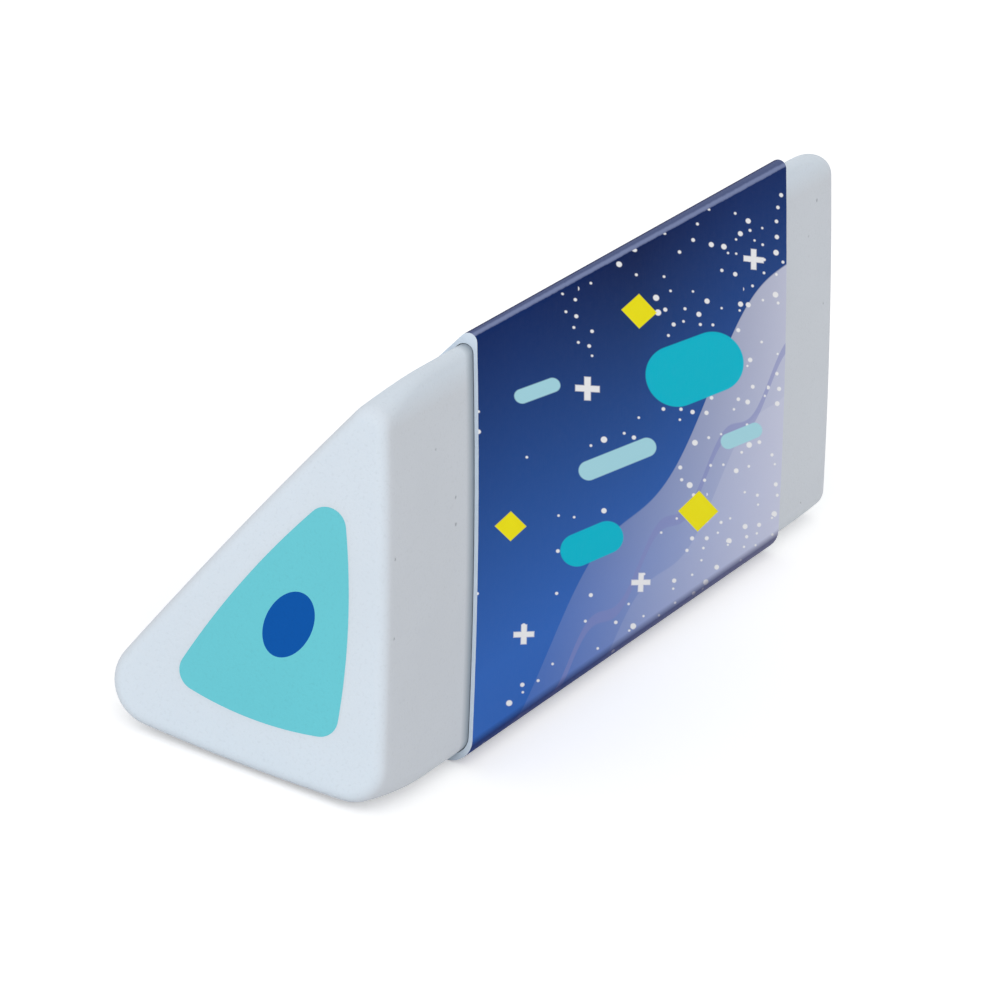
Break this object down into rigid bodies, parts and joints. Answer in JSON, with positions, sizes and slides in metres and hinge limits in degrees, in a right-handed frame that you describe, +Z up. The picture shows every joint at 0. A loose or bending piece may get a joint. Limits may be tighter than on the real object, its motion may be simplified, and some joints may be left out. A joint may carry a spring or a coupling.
{
  "type": "triangular eraser",
  "caption": "Triangular prism eraser: a white vinyl block with coloured cores along its length, held in a printed card sleeve that slides along it and pulls off.",
  "frame": {"origin": "under the middle of the block's length, on the plane of the sleeve's base panel", "axes": "+X along the block towards the end that shows less, +Y from the front panel to the back, +Z up to the ridge"},
  "size_m": [0.065, 0.0152, 0.0209],
  "materials": {
    "white_vinyl": "matte",
    "turquoise_vinyl": "matte",
    "blue_vinyl": "matte",
    "printed_card": "printed, satin",
    "glue": "dried film"
  },
  "bodies": {
    "eraser": {"eraser_block": "white_vinyl", "triangle_core": "turquoise_vinyl", "centre_core": "blue_vinyl"},
    "sleeve": {"card_sleeve": "printed_card", "sleeve_glue": "glue"}
  },
  "joints": [
    {"name": "sleeve_slide", "type": "slide", "parent": "eraser", "child": "sleeve", "axis": [1, 0, 0], "range_m": [-0.0584, 0.0559]}
  ]
}
